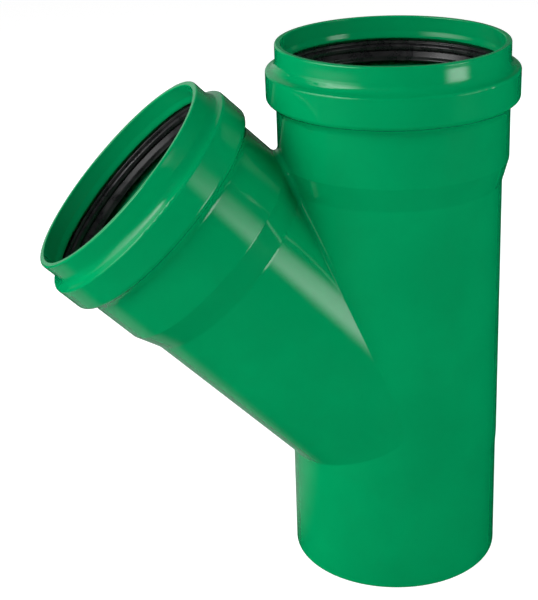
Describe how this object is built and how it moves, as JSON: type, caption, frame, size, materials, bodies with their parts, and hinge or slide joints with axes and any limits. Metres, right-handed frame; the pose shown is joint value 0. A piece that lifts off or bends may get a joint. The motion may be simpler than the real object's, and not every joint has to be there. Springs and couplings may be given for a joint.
{
  "type": "pipe branch fitting",
  "caption": "Moulded 45 degree drain branch with a spigot end and socket ends, each socket with a rubber lip seal.",
  "frame": {"origin": "centre of the spigot's end face, on the run's axis", "axes": "+Z along the run's axis, from the spigot up and out of the run's socket; the branch leans 45 degrees from +Z towards -X; +Y is square to the plane of both axes"},
  "size_m": [0.3567, 0.1855, 0.411],
  "materials": {
    "green_plastic": "semi-gloss moulded",
    "seal_rubber": "satin"
  },
  "bodies": {
    "root": {"fitting_body": "green_plastic", "run_socket_seal": "seal_rubber", "branch_socket_seal": "seal_rubber"}
  },
  "joints": []
}
